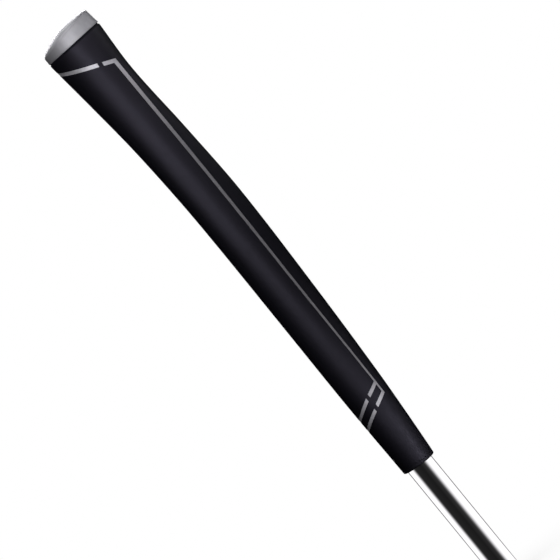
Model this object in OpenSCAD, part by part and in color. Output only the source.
// Golf grip of the pistol putter shape, bonded with tape over the butt end of a steel shaft.
// +Z runs along the shaft axis from the mouth of the grip (z = 0) to the butt cap.
// -Y is the flat front face for the thumbs, +Y is the belly of the back, +X is the right side.

/* [Shaft] */
// Outside diameter of the butt end of the shaft
shaft_od = 14.73; // [14.2:0.01:15.2]
// Wall thickness of the steel tube
shaft_wall = 0.5; // [0.35:0.05:0.8]
// Length of bare shaft below the mouth of the grip
shaft_stub = 76; // [20:1:160]
// Height of the butt end of the shaft inside the grip
shaft_top = 262; // [250:1:264]
// Thickness of the double-sided tape between shaft and sleeve
tape_t = 0.135; // [0.1:0.005:0.25]

/* [Body] */
// Length of the soft body, from the mouth to the joint with the cap
body_len = 275; // [270:1:280]
// Height of the moulded lip at the mouth
lip_h = 2; // [1.2:0.1:4]
// Radius of the lip at the mouth
lip_r = 9.4; // [9:0.05:10]
// Thickness of the polyurethane skin
wrap_t = 0.7; // [0.5:0.05:0.9]
// Thickness of the felt behind the skin
felt_t = 0.5; // [0.3:0.05:0.6]
// Width of the sealed seam along the back
seam_w = 1.2; // [0.8:0.1:2]

/* [Front profile] */
// Distance from the axis to the front face at the mouth
front_mouth = 9.3; // [9:0.1:10]
// Distance from the axis to the front face, 45 mm up
front_low = 9.9; // [9.5:0.05:11]
// Distance from the axis to the front face, 95 mm up
front_run = 9.7; // [9.3:0.05:11]
// Distance from the axis to the front face, 150 mm up
front_waist = 9.5; // [9.2:0.05:11]
// Distance from the axis to the front face where it starts to flare, 180 mm up
front_start = 9.9; // [9.5:0.05:12]
// Distance from the axis to the front face in the flare, 215 mm up
front_flare = 11.55; // [10.5:0.05:13]
// Distance from the axis to the front face in the flare, 245 mm up
front_neck = 14.2; // [13:0.05:16]
// Distance from the axis to the front face at the butt
front_butt = 17.2; // [16:0.1:19]

/* [Back profile] */
// Distance from the axis to the back at the mouth
back_mouth = 9.4; // [9:0.1:10.5]
// Distance from the axis to the back, 26 mm up
back_low = 11.65; // [10.5:0.05:13]
// Distance from the axis to the back, 51 mm up
back_quarter = 13.45; // [12:0.05:15]
// Distance from the axis to the back, 102 mm up
back_half = 15.9; // [14:0.1:17.5]
// Distance from the axis to the back at the belly, 165 mm up
back_belly = 17.65; // [16:0.05:20]
// Distance from the axis to the back, 207 mm up
back_shoulder = 16.3; // [15:0.1:18]
// Distance from the axis to the back at the neck, 248 mm up
back_neck = 14.15; // [13:0.05:16]
// Distance from the axis to the back at the butt
back_butt = 15.5; // [14:0.1:17]

/* [Width] */
// Half width at the mouth
half_mouth = 9.4; // [9:0.1:10]
// Half width 60 mm up
half_low = 10.3; // [9.5:0.1:12]
// Half width 120 mm up
half_mid = 11.5; // [10:0.1:13]
// Half width 180 mm up
half_high = 12.4; // [11:0.1:14]
// Half width 230 mm up
half_neck = 13.4; // [12:0.1:15]
// Half width at the butt
half_butt = 16.2; // [15:0.1:17]
// Squareness of the front half, 2 is round
front_square = 2.8; // [2:0.1:4]
// Taper of the sides towards the ridge of the back, 0 is an ellipse
side_taper = 0.3; // [0:0.01:0.4]

/* [Painted grooves] */
// Depth of the pressed grooves that hold the paint
groove_d = 0.35; // [0.2:0.05:0.5]
// Width of the border line at the butt end
line_butt_w = 2.0; // [1:0.1:3]
// Width of the border line at the mouth end
line_mouth_w = 0.9; // [0.8:0.1:2]
// Width of the strokes of the butt chevron
butt_stroke = 2.1; // [1:0.1:3]
// Width of the strokes of the mouth chevrons
mouth_stroke = 1.7; // [1:0.1:3]
// Height of the butt chevron where it crosses the side
butt_chevron_z = 260.2; // [250:0.1:262]
// Height of the upper mouth chevron where it crosses the side
mouth_upper_z = 42.9; // [38:0.1:60]
// Height of the lower mouth chevron where it crosses the side
mouth_lower_z = 36.3; // [24:0.1:36.6]

/* [Cap] */
// Height of the cap above its joint with the body
cap_h = 11; // [9:0.25:13]
// Radius of the domed end face
dome_r = 48; // [40:1:70]
// Offset of the top of the dome towards the back
dome_y = 6.5; // [0:0.5:8]
// Radius of the spigot that plugs the sleeve
spigot_r = 7.45; // [7:0.05:7.5]
// Length of the spigot below the joint
spigot_len = 11; // [6:0.5:12]
// Radius of the pocket inside the cap
pocket_r = 5.8; // [4:0.1:6.2]
// Height of the pocket above the joint
pocket_h = 5; // [3:0.5:7]
// Radius of the vent hole through the end face
vent_r = 1.6; // [1:0.1:2.5]

/* [Hidden] */
$fn = 96;

over = 1; // overrun of cutting tools, and overlap of joined solids
shaft_r = shaft_od / 2;
bore_r = shaft_r + tape_t;
core_inset = wrap_t + felt_t;
tape_z = 4; // lower end of the tape
butt_mid_y = (back_butt - front_butt) / 2;
mouth_mid_y = (back_mouth - front_mouth) / 2;
cap_foot_r = half_butt + 0.1;
cap_rim_r = half_butt - 0.45;
line_color = [0.6, 0.6, 0.62];
chevron_color = [0.75, 0.75, 0.77];

// ---- Profiles of the body: [height, value] ----

front_profile = [
    [0, front_mouth], [45, front_low], [95, front_run], [150, front_waist],
    [180, front_start], [215, front_flare], [245, front_neck], [body_len, front_butt]
];
back_profile = [
    [0, back_mouth], [26, back_low], [51, back_quarter], [102, back_half],
    [165, back_belly], [207, back_shoulder], [248, back_neck], [body_len, back_butt]
];
half_profile = [
    [0, half_mouth], [60, half_low], [120, half_mid],
    [180, half_high], [230, half_neck], [body_len, half_butt]
];
// Y of the widest place of the section
widest_profile = [[0, mouth_mid_y], [50, 1.0], [150, 1.5], [225, 1.0], [body_len, butt_mid_y]];
// Share of the full squareness and of the full side taper
square_share = [[0, 0], [60, 0.3], [120, 0.45], [180, 1], [230, 0.5], [body_len, 0]];
taper_share = [[0, 0], [40, 0.15], [110, 1], [195, 1], [240, 0.15], [body_len, 0]];

// Heights of the sections the body is built from
stations = [
    lip_h, 8, 16, 25, 34, 44, 54, 66, 80, 94, 108, 122, 136, 150, 162, 174,
    186, 198, 209, 219, 228, 236, 244, 251, 257, 263, 269, body_len
];

// Index of the profile interval that holds height z.
function interval(profile, z, i = 0) =
    (i >= len(profile) - 2 || z < profile[i + 1][0]) ? i : interval(profile, z, i + 1);

// Slope of the curve at profile point i, taken between its neighbours.
function slope(profile, i) =
    let (rise = profile[min(i + 1, len(profile) - 1)] - profile[max(i - 1, 0)])
    rise[1] / rise[0];

// Smooth cubic curve through the profile points.
function smooth(profile, z) =
    let (
        i = interval(profile, z),
        start = profile[i],
        end = profile[i + 1],
        h = end[0] - start[0],
        t = (z - start[0]) / h
    )
    (2*t*t*t - 3*t*t + 1) * start[1]
    + (t*t*t - 2*t*t + t) * slope(profile, i) * h
    + (3*t*t - 2*t*t*t) * end[1]
    + (t*t*t - t*t) * slope(profile, i + 1) * h;

// ---- Section of the body ----

// Steps from the middle of the front (0) to the edges of the seam (-seam_step and seam_step)
seam_step = 20;
around = [for (step = [-seam_step:seam_step]) step];
side_steps = [for (step = [8:17]) step];
front_steps = [for (step = [-13:13]) step];

// Point of the section at height z, inset from the surface.
// The angle runs from -90 at the front to nearly 90 at the seam.
function section_point(z, step, inset) =
    let (
        half_width = smooth(half_profile, z) - inset,
        mid_y = smooth(widest_profile, z),
        taper = side_taper * smooth(taper_share, z),
        seam_angle = asin(seam_w / 2 / half_width / (1 - taper)),
        angle = -90 + (180 - seam_angle) * abs(step) / seam_step,
        in_front = angle < 0,
        power = in_front ? 2 + (front_square - 2) * smooth(square_share, z) : 2,
        narrowing = in_front ? 1 : 1 - taper * pow(sin(angle), 2),
        reach = in_front
            ? smooth(front_profile, z) - inset + mid_y
            : smooth(back_profile, z) - inset - mid_y
    )
    [
        sign(step) * half_width * narrowing * pow(max(0, cos(angle)), 2 / power),
        mid_y + sign(angle) * reach * pow(abs(sin(angle)), 2 / power),
        z
    ];

function section_points(zs, steps, inset) =
    [for (z = zs) for (step = steps) section_point(z, step, inset)];

// Stations that cover the heights from z_low to z_high.
function stations_between(z_low, z_high) =
    let (last = len(stations) - 1)
    [for (i = [0:last])
        if ((i == last || stations[i + 1] > z_low) && (i == 0 || stations[i - 1] < z_high))
            stations[i]];

// ---- Solids lofted through the sections ----

// Two triangles that share the diagonal a-c.
function quad(a, b, c, d) = [[a, b, c], [a, c, d]];

// Pairs of neighbouring columns, with the last joined to the first if closed.
function column_pairs(cols, closed) =
    [for (j = [0:cols - (closed ? 1 : 2)]) [j, (j + 1) % cols]];

// Outward faces between successive rows of points.
function wall_faces(rows, cols, closed) =
    [for (i = [0:rows - 2]) for (pair = column_pairs(cols, closed))
        let (low = i * cols, high = low + cols)
        each quad(low + pair[0], high + pair[0], high + pair[1], low + pair[1])];

// Solid filled section through the heights zs.
module filled(zs, inset) {
    cols = len(around);
    top = (len(zs) - 1) * cols;
    polyhedron(
        points = section_points(zs, around, inset),
        faces = concat(
            [[for (j = [0:cols - 1]) j]],
            [[for (j = [cols - 1:-1:0]) top + j]],
            wall_faces(len(zs), cols, true)
        )
    );
}

// Shell through the heights zs and the given steps, between two insets.
// A closed shell runs all the way round, an open one gets a face along each side edge.
module shell(zs, steps, outer_inset, inner_inset, closed = false) {
    rows = len(zs);
    cols = len(steps);
    inner = rows * cols;
    top = inner - cols;
    last = cols - 1;
    pairs = column_pairs(cols, closed);
    outer_faces = wall_faces(rows, cols, closed);
    inner_faces = [for (face = outer_faces) [inner + face[0], inner + face[2], inner + face[1]]];
    bottom_rim = [for (p = pairs) each quad(p[0], p[1], inner + p[1], inner + p[0])];
    top_rim = [for (p = pairs)
        each quad(top + p[0], inner + top + p[0], inner + top + p[1], top + p[1])];
    side_edges = closed ? [] : [for (i = [0:rows - 2])
        let (low = i * cols, high = low + cols)
        each concat(
            quad(low, inner + low, inner + high, high),
            quad(low + last, high + last, inner + high + last, inner + low + last)
        )];
    polyhedron(
        points = concat(
            section_points(zs, steps, outer_inset),
            section_points(zs, steps, inner_inset)
        ),
        faces = concat(outer_faces, inner_faces, bottom_rim, top_rim, side_edges)
    );
}

// ---- Painted grooves ----

side_reach = 30; // reach of the cutting shapes to the right of the middle plane
slab_size = 90;
butt_side_x = half_butt - 0.6; // X where the strokes have their given height
mouth_side_x = half_mouth + 0.5;
butt_gap = [2.1, 3.9]; // Y range of bare skin between chevron and border line stub
mouth_gap = [0.2, 1.95];
butt_front_y = -25; // front limits of the chevron strokes
mouth_front_y = -20;
upper_slope_y = 0.53;
lower_slope_y = 0.5;
butt_stations = stations_between(butt_chevron_z - 6, body_len);
mouth_stations = stations_between(mouth_lower_z - 10, mouth_upper_z + 8);

// Middle of the border line in the side view: [height, y]
line_profile = [[mouth_lower_z, 9.2], [150, 10.2], [butt_chevron_z, 10.0]];
line_bottom = mouth_lower_z + 4.6;
line_top = butt_chevron_z - 3.5;
line_parts = 8;
line_heights = [for (i = [0:line_parts]) line_bottom + (line_top - line_bottom) * i / line_parts];

function line_width(z) =
    line_mouth_w + (line_butt_w - line_mouth_w)
        * (z - mouth_lower_z) / (butt_chevron_z - mouth_lower_z);

// Y of an edge of the border line: side is -1 for the front edge, 1 for the back edge.
function line_edge(z, side) = smooth(line_profile, z) + side * line_width(z) / 2;

// Border line of the right side, extruded along X.
module line_prism() {
    rotate([90, 0, 90]) linear_extrude(height = side_reach) polygon(concat(
        [for (z = line_heights) [line_edge(z, -1), z]],
        [for (i = [line_parts:-1:0]) [line_edge(line_heights[i], 1), line_heights[i]]]
    ));
}

// Sloping slab on the right side, kept to the range ys = [front, back].
// Its middle plane is z = side_z + slope_x * (x - side_x) + slope_y * y.
module stroke_slab(side_z, side_x, slope_x, slope_y, width, ys) {
    normal = [-slope_x, -slope_y, 1] / norm([slope_x, slope_y, 1]);
    intersection() {
        translate([0, 0, side_z - slope_x * side_x])
            rotate(a = acos(normal[2]), v = [-normal[1], normal[0], 0])
                cube([slab_size, slab_size, width], center = true);
        translate([0, ys[0], side_z - side_reach])
            cube([side_reach, ys[1] - ys[0], 2 * side_reach]);
    }
}

module butt_slab(ys) {
    stroke_slab(side_z = butt_chevron_z, side_x = butt_side_x,
        slope_x = -0.08, slope_y = -0.42, width = butt_stroke, ys = ys);
}

module mouth_slab(side_z, slope_y) {
    stroke_slab(side_z = side_z, side_x = mouth_side_x,
        slope_x = 0.27, slope_y = slope_y, width = mouth_stroke,
        ys = [mouth_front_y, mouth_gap[0]]);
}

// Short stroke between the gap and the border line.
module mouth_stub(side_z, slope_y) {
    stroke_slab(side_z = side_z, side_x = mouth_side_x,
        slope_x = -0.1, slope_y = slope_y, width = mouth_stroke,
        ys = [mouth_gap[1], line_edge(line_bottom, 1)]);
}

// The paint solids start at the surface, outer_inset = 0. The tools that cut
// the grooves are the same shapes, started outside the skin.

// Long line of the right side with the stubs that turn its ends towards the chevrons.
module right_line(outer_inset) {
    intersection() {
        shell(stations, side_steps, outer_inset, groove_d);
        union() {
            line_prism();
            butt_slab([butt_gap[1], line_edge(line_top, 1)]);
            mouth_stub(side_z = mouth_upper_z + 0.25, slope_y = 0.42);
            mouth_stub(side_z = mouth_lower_z + 0.4, slope_y = 0.44);
        }
    }
}

// Chevron across the front, from the child stroke and its mirror image.
module chevron(zs, outer_inset) {
    intersection() {
        shell(zs, front_steps, outer_inset, groove_d);
        union() {
            children();
            mirror([1, 0, 0]) children();
        }
    }
}

module butt_mark(outer_inset) {
    chevron(butt_stations, outer_inset) butt_slab([butt_front_y, butt_gap[0]]);
}

module upper_mark(outer_inset) {
    chevron(mouth_stations, outer_inset) mouth_slab(mouth_upper_z, upper_slope_y);
}

module lower_mark(outer_inset) {
    chevron(mouth_stations, outer_inset) mouth_slab(mouth_lower_z, lower_slope_y);
}

// ---- Nodes ----

// Steel tube, cut square at both ends.
module shaft_tube() {
    length = shaft_stub + shaft_top;
    color("silver") difference() {
        translate([0, 0, -shaft_stub]) cylinder(r = shaft_r, h = length);
        translate([0, 0, -shaft_stub - over])
            cylinder(r = shaft_r - shaft_wall, h = length + 2 * over);
    }
}

// Double-sided tape round the shaft.
module grip_tape() {
    color("tan") translate([0, 0, tape_z]) difference() {
        cylinder(r = bore_r, h = shaft_top - tape_z);
        translate([0, 0, -over]) cylinder(r = shaft_r, h = shaft_top);
    }
}

// Moulded rubber sleeve with the bore for the shaft and a lip at the mouth.
module core_sleeve() {
    // [radius, height], with the outer lower corner eased
    lip_outline = [
        [bore_r - over, 0], [lip_r - 0.5, 0], [lip_r - 0.15, 0.15],
        [lip_r, 0.5], [lip_r, lip_h], [bore_r - over, lip_h]
    ];
    color("dimgray") difference() {
        union() {
            filled(stations, core_inset);
            rotate_extrude() polygon(lip_outline);
        }
        translate([0, 0, -over]) cylinder(r = bore_r, h = body_len + 2 * over);
    }
}

// Felt layer that carries the skin.
module felt_backing() {
    color("gray") shell(stations, around, wrap_t, core_inset, closed = true);
}

// Polyurethane skin with pressed grooves, open along the back where the seam closes it.
module outer_wrap() {
    color([0.13, 0.13, 0.15]) difference() {
        shell(stations, around, 0, wrap_t);
        right_line(-over);
        mirror([1, 0, 0]) right_line(-over);
        butt_mark(-over);
        upper_mark(-over);
        lower_mark(-over);
    }
}

// Sealed bead that fills the gap between the two edges of the skin.
module back_seam() {
    color([0.08, 0.08, 0.09]) shell(stations, [seam_step, -seam_step], 0, wrap_t);
}

// End cap: domed face that is highest towards the back, slightly tapered skirt,
// hollow spigot and vent hole.
module butt_cap() {
    spigot_z = body_len - spigot_len;
    color([0.62, 0.62, 0.64]) difference() {
        union() {
            intersection() {
                translate([0, butt_mid_y, body_len])
                    cylinder(r1 = cap_foot_r, r2 = cap_rim_r, h = cap_h + over);
                translate([0, dome_y, body_len + cap_h - dome_r]) sphere(r = dome_r);
            }
            translate([0, 0, spigot_z]) cylinder(r = spigot_r, h = spigot_len + over);
        }
        translate([0, 0, spigot_z - over])
            cylinder(r = pocket_r, h = spigot_len + over + pocket_h);
        translate([0, 0, body_len]) cylinder(r = vent_r, h = cap_h + 2 * over);
    }
}

// Paint in the grooves, flush with the skin.
module border_line_right() { color(line_color) right_line(0); }
module border_line_left() { color(line_color) mirror([1, 0, 0]) right_line(0); }
module butt_chevron() { color(chevron_color) butt_mark(0); }
module mouth_chevron_upper() { color(chevron_color) upper_mark(0); }
module mouth_chevron_lower() { color(chevron_color) lower_mark(0); }

shaft_tube();
grip_tape();
core_sleeve();
felt_backing();
outer_wrap();
back_seam();
butt_cap();
border_line_right();
border_line_left();
butt_chevron();
mouth_chevron_upper();
mouth_chevron_lower();
